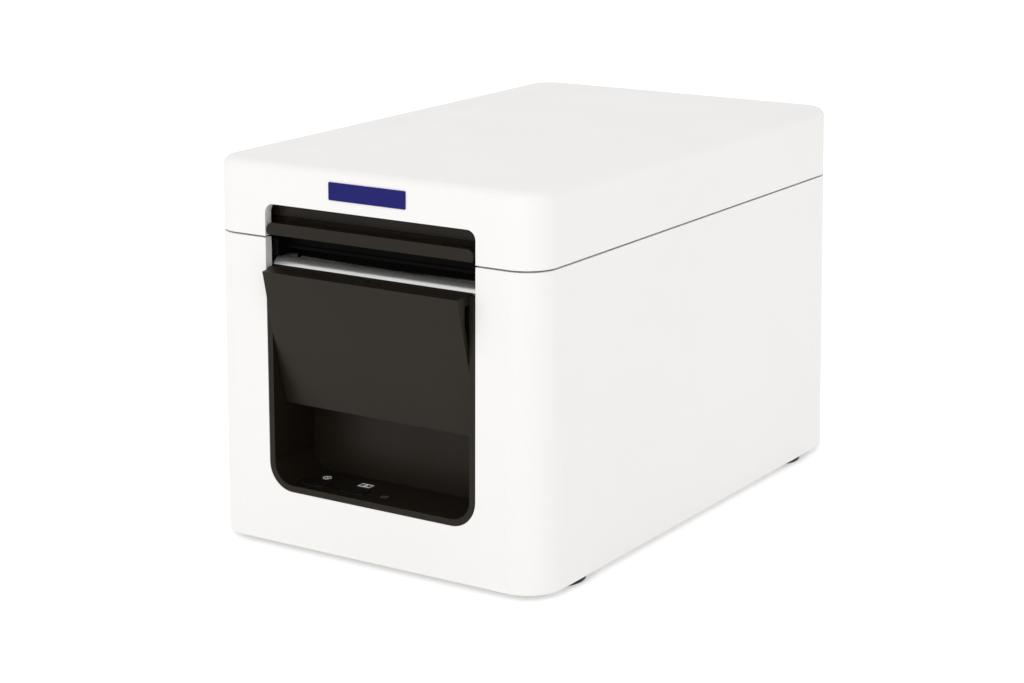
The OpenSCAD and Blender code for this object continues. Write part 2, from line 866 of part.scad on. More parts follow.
// Sloping plate between the roll and the print head.
module paper_guide() {
    color([0.2, 0.2, 0.2]) place() difference() {
        along_x(-plate_in + 0.2, plate_in - 0.2) polygon([
            [-54.5, guide_low],
            [-24, 66.5],
            [roll_y - bucket_r - bucket_wall - 4.2, 76],
            [roll_y - bucket_r - bucket_wall - 4.2, deck_top],
            [-26, deck_top],
            [-54.5, head_top - 0.5]
        ]);
        along_x(-plate_in + 2.2, plate_in - 2.2) polygon([
            [-52.5, guide_low - 2],
            [-22.2, 62],
            [-22.2, deck_top - 2],
            [-26, deck_top - 2],
            [-52.5, head_top - 2.5]
        ]);
        block(sensor_x - 4, sensor_x + 4, -46, -38, 76, 90);
    }
}

module paper_sensor() {
    color([0.08, 0.08, 0.08]) place() difference() {
        block(sensor_x - 3.8, sensor_x + 3.8, -45.8, -38.2, 74, deck_top - 1.4);
        for (x = [sensor_x - 1.8, sensor_x + 1.8])
            translate([x, -42, deck_top - 2.2]) cylinder(h = 4, r = 1.1);
    }
}

// ---------------------------------------------------------------- electronics

module main_board() {
    color("seagreen") place() difference() {
        block(board_x, board_x + board_t, -56, 50, 10, 70);
        for (y = [-50, 44], z = [16, 64]) bar_x(1.4, 30, 60, y, z);
    }
}

header_y = [-36, -20, -4];
header_top = 66;

module board_parts() {
    color([0.1, 0.1, 0.1]) place() {
        // Processor, memory and driver chips.
        block(board_x - 1.5, board_x, -22, -8, 34, 48);
        block(board_x - 1.2, board_x, 2, 12, 36, 44);
        block(board_x - 1.6, board_x, -44, -34, 24, 34);
        // Electrolytic capacitors.
        for (y = [22, 33]) bar_x(4, board_x - 6.6, board_x, y, 24);
        bar_x(3.2, board_x - 6.6, board_x, 22, 52);
        // Cable headers along the edges.
        for (y = header_y) block(board_x - 5, board_x, y - 6, y + 6, 60.5, header_top);
    }
}

module board_screws() {
    color("silver") place() {
        for (y = [-50, 44], z = [16, 64])
            translate([board_x, y, z]) rotate([0, 90, 0]) screw(1.0, 5, 2.2, 1.3);
        for (x = [-34, 34], y = [53, 73])
            translate([x, y, io_board_z + board_t]) mirror([0, 0, 1])
                screw(0.8, 4, 1.8, 1.1);
        on_front() for (x = board_post_x)
            translate([x, 12.5, switch_board_h]) screw(0.8, 4.5, 1.8, 1.1);
    }
}

module interface_board() {
    color("seagreen") place() difference() {
        block(-38, 38, 49, 77, io_board_z, io_board_z + board_t);
        for (x = [-34, 34], y = [53, 73])
            translate([x, y, 0]) cylinder(h = 20, r = 1.0);
    }
}

socket_front = 64.5;
socket_rear = 79.9;
socket_low = io_board_z + board_t;

// Round three-pin power socket in a square housing.
module power_inlet() {
    z = socket_low + 6.5;
    color([0.1, 0.1, 0.1]) place() difference() {
        block(-31, -17, socket_front, socket_rear, socket_low, socket_low + 13);
        translate([-24, socket_rear + 1, z]) rotate([90, 0, 0]) difference() {
            cylinder(h = 10, r = 4.9);
            translate([0, 0, 1.6]) cylinder(h = 12, r = 2.2);
        }
    }
}

// Square data socket with a tongue.
module data_socket() {
    color("silver") place() difference() {
        block(-6, 6, socket_front, socket_rear, socket_low, socket_low + 11);
        difference() {
            block(-4.9, 4.9, socket_rear - 9, socket_rear + 1, socket_low + 1.1, socket_low + 9.9);
            block(-2.8, 2.8, socket_rear - 10, socket_rear - 1, socket_low + 4, socket_low + 7);
        }
    }
}

// Modular jack for the cash drawer lead.
module drawer_socket() {
    color([0.12, 0.12, 0.12]) place() difference() {
        block(16, 31, socket_front, socket_rear, socket_low, socket_low + 13);
        block(18, 29, socket_rear - 11, socket_rear + 1, socket_low + 3.2, socket_low + 11.4);
        block(20.5, 26.5, socket_rear - 11, socket_rear + 1, socket_low + 1.2, socket_low + 4);
    }
}

module rear_panel() {
    y1 = case_d / 2 - wall - 0.6;
    color([0.15, 0.15, 0.15]) place() difference() {
        along_y(y1 - 1.2, y1) soft_rect(-rear_w / 2 - 1.5, rear_w / 2 + 1.5,
            foot_h + cover_t + 0.1, rear_high + 2, 2, 2);
        block(-31.2, -16.8, y1 - 5, y1 + 5, socket_low - 0.2, socket_low + 13.2);
        block(-6.2, 6.2, y1 - 5, y1 + 5, socket_low - 0.2, socket_low + 11.2);
        block(15.8, 31.2, y1 - 5, y1 + 5, socket_low - 0.2, socket_low + 13.2);
    }
}

// Flat flexible cable from the head down to the main board.
module head_cable() {
    side_x = 36.4;
    end_y = header_y[0] + 5;
    color("gainsboro") place() {
        block(6, 30, cable_y, cable_y + cable_t, cable_low, head_top - 1.6);
        block(6, side_x, cable_y, cable_y + cable_t, cable_low, cable_low + 2);
        block(side_x, side_x + cable_t, cable_y, end_y, cable_low, cable_low + 2);
        block(side_x, board_x - 2, end_y - 10, end_y, header_top + 0.1,
            header_top + 0.1 + cable_t);
    }
}

// ---------------------------------------------------------------- top cover

cover_low = split_z + split_gap / 2;
liner_gap = 0.3;
liner_t = 1.2;
liner_low = 82.6;
liner_top = top_z - wall - 1.4;
skirt_rear = 74.5;
baffle_d = 7.4;
baffle_low = 79.9;
ear_x = 45.8;
ear_t = 1.2;
pin_reach = 46.4;
lever_pin_r = 1;

module hinge_pins() {
    color("silver") place() for (s = [-1, 1])
        bar_x(hinge_pin_r, s * knuckle_x - 9, s * knuckle_x + 9, hinge_y, hinge_z);
}

module cover_shell() {
    color("white") place() difference() {
        union() {
            difference() {
                inside_case(0, cover_low, top_z, top_r);
                inside_case(wall, cover_low - 1, top_z - wall);
            }
            // Rolled rear edge round the hinge axis.
            intersection() {
                inside_case(roll_inset, hinge_z - 5, cover_low + 2);
                union() {
                    bar_x(hinge_r, -hinge_half, hinge_half, hinge_y, hinge_z);
                    block(-hinge_half, hinge_half, hinge_y, case_d, hinge_z, cover_low + 1);
                }
            }
            // Short bosses for the liner screws.
            for (sx = [-1, 1], y = cover_boss_y)
                translate([sx * cover_boss_x, y, liner_top])
                    cylinder(h = top_z - liner_top - 0.8, r = 3);
        }
        on_front() along_y(-1, wall + 2.5) front_outline(0);
        // Room for the base's knuckles.
        for (s = [-1, 1]) {
            x0 = s * knuckle_x - knuckle_w / 2 - 0.3;
            bar_x(hinge_r + 0.35, x0, x0 + knuckle_w + 0.6, hinge_y, hinge_z);
            block(x0, x0 + knuckle_w + 0.6, hinge_y - hinge_r - 1, hinge_y + hinge_r + 2,
                hinge_z - 9, hinge_z + 0.2);
        }
        for (s = [-1, 1])
            bar_x(hinge_pin_r, s * knuckle_x - 9.2, s * knuckle_x + 9.2, hinge_y, hinge_z);
        for (sx = [-1, 1], y = cover_boss_y)
            translate([sx * cover_boss_x, y, liner_top - 1]) cylinder(h = 3.4, r = 1.0);
    }
}

cover_boss_x = 40;
cover_boss_y = [-46, 60];

// Black lining with a skirt that reaches below the split line.
module cover_liner() {
    outer = wall + liner_gap;
    color([0.15, 0.15, 0.15]) place() {
        difference() {
            inside_case(outer, liner_low, liner_top);
            inside_case(outer + liner_t, liner_low - 1, liner_top - liner_t);
            block(-60, 60, skirt_rear, 100, 0, liner_top + 1);
            block(-37, 37, -100, -60, 0, liner_top - liner_t);
            // The skirt's front corners only cover the split line.
            block(-60, 60, -100, -70, 91, liner_top - liner_t);
            for (sx = [-1, 1], y = cover_boss_y)
                translate([sx * cover_boss_x, y, 90]) cylinder(h = 20, r = 1.2);
        }
        // Baffle behind the release lever, with a stiffening step along its lower edge.
        on_front() block(-31.2, 31.2, baffle_d, baffle_d + liner_t, baffle_low,
            liner_top - foot_h - 0.6);
        on_front() block(-31.2, 31.2, baffle_d - 0.7, baffle_d + eps, baffle_low,
            baffle_low + 0.9);
        // Ears that hold the lever's pivot pins.
        on_front() for (s = [-1, 1]) difference() {
            x0 = s * ear_x - ear_t / 2;
            block(x0, x0 + ear_t, lever_pivot_d - 1.5, lever_pivot_d + 3.4,
                lever_pivot_h - 2.6, liner_top - foot_h - 0.4);
            bar_x(lever_pin_r, -60, 60, lever_pivot_d, lever_pivot_h);
        }
    }
}

module cover_screws() {
    color("silver") place() for (sx = [-1, 1], y = cover_boss_y)
        translate([sx * cover_boss_x, y, liner_top - liner_t]) screw(1.0, 3.2, 2.4, 1.3);
}

badge_w = 24.2;
badge_h = 4.7;
badge_z = 98;

// Plain blue name plate without lettering.
module badge() {
    color("midnightblue") place() on_front() along_y(-0.25, 0)
        soft_rect(-badge_w / 2, badge_w / 2, badge_z - badge_h / 2, badge_z + badge_h / 2,
            0.3, 0.3);
}

bracket_x = 31.6;
bracket_t = 1.6;

// Hanging bracket that carries the platen and the fixed blade.
module platen_bracket() {
    top = liner_top - liner_t;
    color("lightgray") place() {
        for (s = [-1, 1]) {
            x0 = s > 0 ? bracket_x : -bracket_x - bracket_t;
            along_x(x0, x0 + bracket_t) difference() {
                polygon([
                    [blade_front - 0.2, 86],
                    [-69, 81.8],
                    [-60, 81.8],
                    [-52, 92],
                    [-46, top],
                    [blade_front - 0.2, top]
                ]);
                translate([platen_y, platen_z]) circle(4);
            }
        }
        block(-bracket_x - eps, bracket_x + eps, -71, -46, top - 1.2, top);
    }
}

module platen_bushes() {
    color("darkgoldenrod") place() for (s = [-1, 1]) difference() {
        bar_x(4, s > 0 ? 31.2 : -36.2, s > 0 ? 36.2 : -31.2, platen_y, platen_z);
        bar_x(platen_shaft_r + 0.05, -60, 60, platen_y, platen_z);
    }
}

module platen_shaft() {
    color("silver") place() bar_x(platen_shaft_r, -gear_out - 0.8, 37.2, platen_y, platen_z);
}

module platen_rubber() {
    color([0.1, 0.1, 0.1]) place() difference() {
        bar_x(platen_d / 2, -platen_len / 2, platen_len / 2, platen_y, platen_z);
        bar_x(platen_shaft_r, -60, 60, platen_y, platen_z);
    }
}

module platen_gear() {
    color("ivory") place()
        gear(platen_teeth, mesh_phase_platen, -gear_out, -gear_in, platen_y, platen_z,
            platen_shaft_r);
}

module fixed_blade() {
    color("lightsteelblue") place() {
        block(-30, 30, blade_front - 1.1, blade_front - 0.2, 82.1, 92);
        // Ears that lie on the bracket's side plates.
        block(-bracket_x - bracket_t, bracket_x + bracket_t,
            blade_front - 1.1, blade_front - 0.2, 87, 92);
    }
}

// Pull bar, scooped body, pivot tube and latch arms in one moulding.
module release_lever() {
    bar_low = 84.5;
    bar_high = 87.7;
    body_half = 36.4;
    arm_low = 75.5;
    color([0.2, 0.18, 0.17]) place() on_front() difference() {
        union() {
            along_y(-0.2, 1.4) intersection() {
                soft_rect(-lever_half, lever_half, bar_low, bar_high, 0.8, 2);
                translate([-lever_half - 1, bar_low]) square([2 * lever_half + 2, 10]);
            }
            block(-lever_half + 0.4, lever_half - 0.4, 1.3, 5.6, bar_low + 0.2, bar_low + 1.8);
            along_x(-body_half, body_half) polygon([
                [5.4, bar_low + 0.2],
                [5.4, 88.5],
                [4.3, 88.9],
                [lever_pivot_d - lever_tube_r + 0.2, lever_pivot_h],
                [lever_pivot_d + lever_tube_r - 0.2, lever_pivot_h],
                [6.9, 94],
                [6.9, bar_low + 0.2]
            ]);
            bar_x(lever_tube_r, -lever_arm_x - arm_w / 2, lever_arm_x + arm_w / 2,
                lever_pivot_d, lever_pivot_h);
            for (s = [-1, 1]) along_x(s * lever_arm_x - arm_w / 2, s * lever_arm_x + arm_w / 2)
                polygon([
                    [lever_pivot_d - 1.4, lever_pivot_h],
                    [lever_pivot_d + 1.4, lever_pivot_h],
                    [10.8, 88],
                    [10.8, 77.6],
                    [11.1, 77.2],
                    [10.8, arm_low],
                    [8.6, arm_low],
                    [8.4, 87]
                ]);
        }
        bar_x(lever_pin_r + 0.05, -60, 60, lever_pivot_d, lever_pivot_h);
    }
}

module lever_pins() {
    color("silver") place() on_front() for (s = [-1, 1])
        bar_x(lever_pin_r, s > 0 ? 40 : -pin_reach, s > 0 ? pin_reach : -40, lever_pivot_d, lever_pivot_h);
}

// Small torsion springs that push the lever back.
module lever_springs() {
    wire_r = 0.22;
    coil_r = lever_tube_r + wire_r + 0.06;
    color("gray") place() on_front() for (s = [-1, 1]) {
        for (i = [0:4]) translate([s * 38 + i * 0.55 - 1.1, lever_pivot_d, lever_pivot_h])
            rotate([0, 90, 0]) rotate_extrude() translate([coil_r, 0])
                circle(wire_r, $fn = 16);
        translate([s * 38 - 1.3, lever_pivot_d, lever_pivot_h])
            rotate([0, 90, 0]) difference() {
                cylinder(h = 2.6, r = coil_r + 0.08);
                translate([0, 0, -1]) cylinder(h = 5, r = coil_r - 0.08);
            }
    }
}

base_casing();
bottom_cover();
rubber_feet();
bottom_screws();
front_bezel();
chute_panel();
exit_guide();
power_button();
feed_button();
button_board();
button_switches();
status_lens();
panel_icons();
print_frame();
frame_screws();
thermal_head();
heat_sink();
head_rod();
head_springs();
feed_motor();
motor_pinion();
idler_gear();
idler_pin();
cutter_frame();
cutter_blade();
cutter_motor();
cutter_pinion();
paper_bucket();
paper_guide();
paper_sensor();
main_board();
board_parts();
board_screws();
interface_board();
power_inlet();
data_socket();
drawer_socket();
rear_panel();
head_cable();
hinge_pins();
cover_shell();
cover_liner();
cover_screws();
badge();
platen_bracket();
platen_bushes();
platen_shaft();
platen_rubber();
platen_gear();
fixed_blade();
release_lever();
lever_pins();
lever_springs();
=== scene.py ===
"""Looks of a compact front-exit receipt printer.

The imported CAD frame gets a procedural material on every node, rounded edges, true coils in place of the
spring stand-ins, a plain studio and the main camera. All lengths are in metres.
"""

import json
import math

import bpy
from mathutils import Matrix, Vector


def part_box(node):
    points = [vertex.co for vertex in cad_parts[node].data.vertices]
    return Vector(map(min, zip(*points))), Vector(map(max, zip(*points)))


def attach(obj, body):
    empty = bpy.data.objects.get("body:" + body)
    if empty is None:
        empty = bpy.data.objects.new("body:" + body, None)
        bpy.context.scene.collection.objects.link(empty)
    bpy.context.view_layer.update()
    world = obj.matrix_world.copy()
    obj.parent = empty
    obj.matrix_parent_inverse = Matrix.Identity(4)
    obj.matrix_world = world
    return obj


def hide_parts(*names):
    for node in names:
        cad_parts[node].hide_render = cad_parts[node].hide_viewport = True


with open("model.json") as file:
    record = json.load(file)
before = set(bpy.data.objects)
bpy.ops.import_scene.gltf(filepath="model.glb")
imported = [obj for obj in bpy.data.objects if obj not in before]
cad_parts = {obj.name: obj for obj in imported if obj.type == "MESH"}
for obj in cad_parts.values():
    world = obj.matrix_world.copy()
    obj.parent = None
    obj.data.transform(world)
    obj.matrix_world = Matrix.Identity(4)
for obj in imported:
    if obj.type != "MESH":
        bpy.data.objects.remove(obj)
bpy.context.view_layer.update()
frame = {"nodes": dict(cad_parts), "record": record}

scene = bpy.context.scene
scene.view_settings.view_transform = "Standard"

# ------------------------------------------------------------------ camera

# Angles in degrees. The azimuth is 0 straight in front (-y) and grows towards +x.
CAMERA_AZIMUTH = 33.19
CAMERA_ELEVATION = 14.52
CAMERA_ROLL = -0.24
CAMERA_DISTANCE = 0.68486
CAMERA_TARGET = Vector((-0.00983, 0.001745, 0.0423))
LENS_MM = 83.11
SENSOR_MM = 36.0
CLIP_NEAR, CLIP_FAR = 0.01, 50


def add_camera():
    """The main view: on the front right corner, from a little above."""
    azimuth, elevation = math.radians(CAMERA_AZIMUTH), math.radians(CAMERA_ELEVATION)
    level = math.cos(elevation)
    back = Vector((math.sin(azimuth) * level, -math.cos(azimuth) * level, math.sin(elevation)))
    right = Vector((0, 0, 1)).cross(back).normalized()
    up = back.cross(right)
    turn = Matrix.Rotation(math.radians(CAMERA_ROLL), 3, back)
    right, up = turn @ right, turn @ up
    camera = bpy.data.objects.new("camera", bpy.data.cameras.new("camera"))
    camera.data.lens = LENS_MM
    camera.data.sensor_width = SENSOR_MM
    camera.data.clip_start = CLIP_NEAR
    camera.data.clip_end = CLIP_FAR
    axes = Matrix((right, up, back)).transposed().to_4x4()
    camera.matrix_world = Matrix.Translation(CAMERA_TARGET + back * CAMERA_DISTANCE) @ axes
    scene.collection.objects.link(camera)
    scene.camera = camera


# ------------------------------------------------------------------ node helpers

# Sockets of the Mix node that belong to its colour mode.
MIX_COLOR_A, MIX_COLOR_B, MIX_COLOR_RESULT = 6, 7, 2


class Shader:
    """A Principled material with short calls for the nodes that feed it."""

    def __init__(self, name, color, roughness, **inputs):
        self.material = bpy.data.materials.new(name)
        self.material.use_nodes = True
        self.tree = self.material.node_tree
        self.bsdf = self.tree.nodes["Principled BSDF"]
        self.bsdf.inputs["Base Color"].default_value = (*color, 1)
        self.bsdf.inputs["Roughness"].default_value = roughness
        for key, value in inputs.items():
            self.bsdf.inputs[key.replace("_", " ")].default_value = value
        self.place = self.tree.nodes.new("ShaderNodeTexCoord").outputs["Object"]
        self.normal = None

    def node(self, kind, links, values=(), **settings):
        """A new node: links are its linked inputs, values its plain inputs, settings its properties."""
        made = self.tree.nodes.new(kind)
        for key, value in settings.items():
            setattr(made, key, value)
        for key, value in dict(values).items():
            made.inputs[key].default_value = value
        for key, socket in links.items():
            self.tree.links.new(socket, made.inputs[key])
        return made

    def stretched(self, scale):
        """Object coordinates scaled separately along x, y and z."""
        return self.node("ShaderNodeMapping", {"Vector": self.place}, {"Scale": scale}).outputs["Vector"]

    def noise(self, scale, detail, stretch=None):
        place = self.stretched(stretch) if stretch else self.place
        values = {"Scale": scale, "Detail": detail}
        return self.node("ShaderNodeTexNoise", {"Vector": place}, values).outputs["Fac"]

    def wave(self, scale, distortion=0.0):
        """Bands across the x axis."""
        values = {"Scale": scale, "Distortion": distortion}
        links = {"Vector": self.place}
        return self.node("ShaderNodeTexWave", links, values, bands_direction="X").outputs["Fac"]

    def ramp(self, value, low, high, start=0.3, stop=0.7):
        """Maps start..stop, by default the middle of a noise, to low..high."""
        values = {"From Min": start, "From Max": stop, "To Min": low, "To Max": high}
        return self.node("ShaderNodeMapRange", {"Value": value}, values).outputs["Result"]

    def vary_roughness(self, value, low, high):
        self.tree.links.new(self.ramp(value, low, high), self.bsdf.inputs["Roughness"])
        return self

    def vary_color(self, value, first, second, **limits):
        mix = self.node("ShaderNodeMix", {0: self.ramp(value, 0, 1, **limits)}, data_type="RGBA")
        mix.inputs[MIX_COLOR_A].default_value = (*first, 1)
        mix.inputs[MIX_COLOR_B].default_value = (*second, 1)
        self.tree.links.new(mix.outputs[MIX_COLOR_RESULT], self.bsdf.inputs["Base Color"])
        return self

    def bump(self, height, distance):
        """Adds a bump of the given depth on top of any earlier one."""
        links = {"Height": height}
        if self.normal:
            links["Normal"] = self.normal
        made = self.node("ShaderNodeBump", links, {"Distance": distance, "Strength": 1.0})
        self.normal = made.outputs["Normal"]
        self.tree.links.new(self.normal, self.bsdf.inputs["Normal"])
        return self


# ------------------------------------------------------------------ materials


def moulded(name, color, other, roughness, spread, grain=2600, depth=0.00002, **inputs):
    """Injection-moulded plastic: faint tone drift, a fine spark-eroded grain and slow sheen changes."""
    s = Shader(name, color, roughness, **inputs)
    s.vary_color(s.noise(14, 3), color, other)
    s.vary_roughness(s.noise(45, 4), roughness - spread, roughness + spread)
    return s.bump(s.noise(grain, 2), depth)


def white_plastic():
    return moulded(
        "white_plastic", (0.782, 0.769, 0.753), (0.77, 0.757, 0.741), 0.42, 0.05, depth=0.000012,
        Specular_IOR_Level=0.35,
    )


def pale_plastic():
    return moulded("pale_plastic", (0.62, 0.62, 0.60), (0.59, 0.59, 0.57), 0.55, 0.06)


def front_black():
    return moulded(
        "front_black", (0.0092, 0.0066, 0.0042), (0.0112, 0.0083, 0.0055), 0.38, 0.06, depth=0.000015,
        Specular_IOR_Level=0.2, Specular_Tint=(1.0, 0.93, 0.84, 1.0),
    )


def liner_black():
    return moulded(
        "liner_black", (0.006, 0.0052, 0.0042), (0.009, 0.0078, 0.0066), 0.58, 0.08,
        Specular_IOR_Level=0.25,
    )


def mouth_black():
    """Black plastic that hardly mirrors anything: a darker, less glossy copy of the other blacks, as
    painted shade for the shadow inside the narrow slot.
    """
    return moulded(
        "mouth_black", (0.0022, 0.0018, 0.0014), (0.0032, 0.0026, 0.002), 0.6, 0.08,
        Specular_IOR_Level=0.06,
    )


def button_black():
    return moulded(
        "button_black", (0.006, 0.0052, 0.0042), (0.008, 0.007, 0.006), 0.34, 0.05,
        Specular_IOR_Level=0.25,
    )


def socket_black():
    return moulded("socket_black", (0.015, 0.015, 0.015), (0.022, 0.022, 0.022), 0.5, 0.08)


def chip_black():
    return moulded("chip_black", (0.02, 0.02, 0.02), (0.032, 0.031, 0.03), 0.6, 0.1, grain=5200)


def lens_grey():
    return moulded("lens_grey", (0.05, 0.05, 0.055), (0.06, 0.06, 0.065), 0.14, 0.03, grain=900)


def print_white():
    return moulded("print_white", (0.8, 0.8, 0.79), (0.7, 0.7, 0.69), 0.5, 0.08, grain=3800)


def badge_blue():
    return moulded(
        "badge_blue", (0.011, 0.011, 0.115), (0.014, 0.014, 0.135), 0.4, 0.05, grain=1800,
        depth=0.000008, Specular_IOR_Level=0.08,
    )


def cable_white():
    """Flat cable: its wires show as ribs side by side."""
    s = moulded("cable_white", (0.66, 0.66, 0.63), (0.72, 0.72, 0.7), 0.35, 0.05)
    return s.bump(s.wave(320.0), 0.00008)


def gear_ivory():
    return moulded(
        "gear_ivory", (0.74, 0.70, 0.6), (0.68, 0.64, 0.54), 0.38, 0.06, grain=1500,
        Subsurface_Weight=0.15, Subsurface_Radius=(0.0012, 0.001, 0.0006),
    )


def rubber(name, color, other, grain):
    s = Shader(name, color, 0.75, Specular_IOR_Level=0.35)
    s.vary_color(s.noise(90, 4), color, other)
    s.vary_roughness(s.noise(160, 3), 0.62, 0.88)
    return s.bump(s.noise(grain, 3), 0.00004)


def foot_rubber():
    return rubber("foot_rubber", (0.018, 0.018, 0.018), (0.03, 0.03, 0.029), 1500)


def platen_black():
    """Ground rubber, with the fine rings that grinding leaves round it."""
    s = rubber("platen_black", (0.014, 0.014, 0.014), (0.024, 0.023, 0.023), 3000)
    return s.bump(s.wave(700.0, 1.5), 0.00001)


def metal(name, color, other, roughness, spread, stretch, depth, metallic=1.0):
    """Bare metal with tool or rolling marks; stretch is how fine they are along x, y and z."""
    s = Shader(name, color, roughness, Metallic=metallic)
    marks = s.noise(1.0, 4, stretch=stretch)
    s.vary_color(s.noise(60, 3), color, other)
    s.vary_roughness(marks, roughness - spread, roughness + spread)
    return s.bump(marks, depth)


def guide_steel():
    """Polished steel; it scatters a part of the light diffusely, a painted reflection that keeps it from
    going black in the slot.
    """
    return metal(
        "guide_steel", (0.72, 0.72, 0.70), (0.66, 0.66, 0.64), 0.3, 0.03,
        (14, 3400, 3400), 0.0000003, metallic=0.85,
    )


def blade_steel():
    """Ground tool steel, slightly warm, with fine marks across the edge."""
    return metal(
        "blade_steel", (0.74, 0.66, 0.58), (0.68, 0.61, 0.53), 0.34, 0.05,
        (1200, 300, 30), 0.0000004, metallic=0.8,
    )


def frame_steel():
    """Zinc-plated sheet: rolling marks under a soft spangle."""
    s = metal(
        "frame_steel", (0.55, 0.56, 0.58), (0.46, 0.47, 0.49), 0.4, 0.08,
        (60, 60, 900), 0.000012,
    )
    cells = s.node("ShaderNodeTexVoronoi", {"Vector": s.place}, {"Scale": 260.0})
    return s.bump(cells.outputs["Distance"], 0.000012)


def frame_black():
    """Black-coated sheet steel with a fine orange-peel. Its very deep black and faint gloss are painted
    shade for the dark paper slot it sits in.
    """
    s = Shader("frame_black", (0.0025, 0.0022, 0.0018), 0.5, Specular_IOR_Level=0.06)
    s.vary_color(s.noise(50, 3), (0.0025, 0.0022, 0.0018), (0.004, 0.0035, 0.003))
    s.vary_roughness(s.noise(260, 3), 0.42, 0.6)
    return s.bump(s.noise(1400, 2), 0.000006)


def shaft_steel():
    return metal(
        "shaft_steel", (0.64, 0.64, 0.66), (0.56, 0.56, 0.58), 0.22, 0.06,
        (3200, 60, 60), 0.000006,
    )


def screw_steel():
    return metal(
        "screw_steel", (0.58, 0.58, 0.6), (0.42, 0.42, 0.44), 0.33, 0.1,
        (500, 500, 500), 0.00002,
    )


def spring_steel():
    return metal(
        "spring_steel", (0.4, 0.4, 0.42), (0.3, 0.3, 0.31), 0.3, 0.08,
        (800, 800, 800), 0.00001,
    )


def socket_steel():
    return metal(
        "socket_steel", (0.62, 0.62, 0.64), (0.54, 0.54, 0.56), 0.3, 0.07,
        (40, 900, 900), 0.00001,
    )


def sink_alu():
    return metal(
        "sink_alu", (0.68, 0.69, 0.7), (0.6, 0.61, 0.62), 0.36, 0.08,
        (20, 1600, 1600), 0.00002,
    )


def bush_bronze():
    """Sintered bronze: fine open pores."""
    s = metal(
        "bush_bronze", (0.45, 0.3, 0.13), (0.36, 0.22, 0.09), 0.42, 0.08,
        (700, 700, 700), 0.00001,
    )
    return s.bump(s.noise(4200, 4), 0.00004)


def motor_can():
    """Drawn steel under a dark finish."""
    s = Shader("motor_can", (0.05, 0.05, 0.055), 0.38, Metallic=0.6)
    s.vary_color(s.noise(40, 3), (0.05, 0.05, 0.055), (0.075, 0.075, 0.08))
    s.vary_roughness(s.noise(300, 4), 0.3, 0.5)
    return s.bump(s.noise(1600, 3), 0.00002)


def head_ceramic():
    """Glazed ceramic with the print head's fine conductor lines. Its dark brown is painted shade, for the
    shadow that the platen and covers cast on the head.
    """
    s = Shader("head_ceramic", (0.022, 0.014, 0.009), 0.2, Specular_IOR_Level=0.3)
    s.vary_color(s.noise(120, 4), (0.022, 0.014, 0.009), (0.03, 0.02, 0.013))
    return s.bump(s.wave(420.0), 0.00001)


def board_green():
    """Solder mask over copper: the tracks stand a little proud and show lighter."""
    s = Shader("board_green", (0.01, 0.09, 0.04), 0.32, Coat_Weight=0.3, Coat_Roughness=0.2)
    tracks = s.node(
        "ShaderNodeTexBrick",
        {"Vector": s.stretched((1, 1.4, 1))},
        {"Scale": 210.0, "Mortar Size": 0.035, "Brick Width": 1.7, "Row Height": 0.42},
    )
    s.vary_color(
        tracks.outputs["Fac"], (0.008, 0.075, 0.032), (0.025, 0.16, 0.07), start=0.2, stop=0.8
    )
    s.vary_roughness(s.noise(500, 3), 0.25, 0.42)
    return s.bump(tracks.outputs["Fac"], 0.00004)


# Each function makes the material of the slot that has its name.
SLOT_MATERIALS = (
    white_plastic, pale_plastic, foot_rubber, screw_steel, front_black, liner_black, mouth_black,
    button_black, lens_grey, print_white, guide_steel, blade_steel, frame_steel, frame_black,
    shaft_steel, spring_steel, sink_alu, head_ceramic, motor_can, gear_ivory, board_green, chip_black,
    socket_black, socket_steel, cable_white, badge_blue, bush_bronze, platen_black,
)


# ------------------------------------------------------------------ CAD nodes

# Width of the rounding on the edges of each node whose edges show.
EDGE_ROUNDING = {
    "cover_shell": 0.00035,
    "base_casing": 0.00035,
    "front_bezel": 0.0003,
    "chute_panel": 0.0003,
    "release_lever": 0.0003,
    "bottom_cover": 0.0003,
    "badge": 0.00008,
    "power_button": 0.0002,
    "feed_button": 0.0002,
    "cover_liner": 0.0002,
    "paper_bucket": 0.0003,
    "paper_guide": 0.0003,
    "paper_sensor": 0.0002,
    "exit_guide": 0.0001,
    "drawer_socket": 0.0002,
    "power_inlet": 0.0002,
    "data_socket": 0.00015,
    "rubber_feet": 0.0004,
}
# Edges that turn by more than this are rounded, in this many steps.
EDGE_ANGLE = math.radians(28)
EDGE_STEPS = 3
WELD_DISTANCE = 0.000002


def dress_nodes(materials):
    """Gives each CAD node its material, and rounds the edges that show."""
    for part in frame["record"]["subparts"]:
        name = part["node"]
        node = frame["nodes"][name]
        node.data.materials.clear()
        node.data.materials.append(materials[part["material_slot"]])
        if name in EDGE_ROUNDING:
            round_edges(node, EDGE_ROUNDING[name])


def round_edges(node, width):
    """The weld joins the faces' meshes, so that the bevel sees the edges between them."""
    weld = node.modifiers.new("weld", "WELD")
    weld.merge_threshold = WELD_DISTANCE
    bevel = node.modifiers.new("edges", "BEVEL")
    bevel.width = width
    bevel.segments = EDGE_STEPS
    bevel.limit_method = "ANGLE"
    bevel.angle_limit = EDGE_ANGLE
    bevel.use_clamp_overlap = True


# ------------------------------------------------------------------ springs

TURNS = 5
POINTS_PER_TURN = 20
# Radii of the wires, and the length of one coil of the lever's springs.
HEAD_WIRE = 0.0004
LEVER_WIRE = 0.00022
LEVER_COIL_LENGTH = 0.0022


def helix(start, along, radius, pitch):
    """Points of a coil that starts round start and runs along a unit axis."""
    side = along.orthogonal().normalized()
    other = along.cross(side)
    points = []
    for i in range(TURNS * POINTS_PER_TURN + 1):
        angle = 2 * math.pi * i / POINTS_PER_TURN
        ring = side * math.cos(angle) + other * math.sin(angle)
        points.append(start + along * (pitch * i / POINTS_PER_TURN) + ring * radius)
    return points


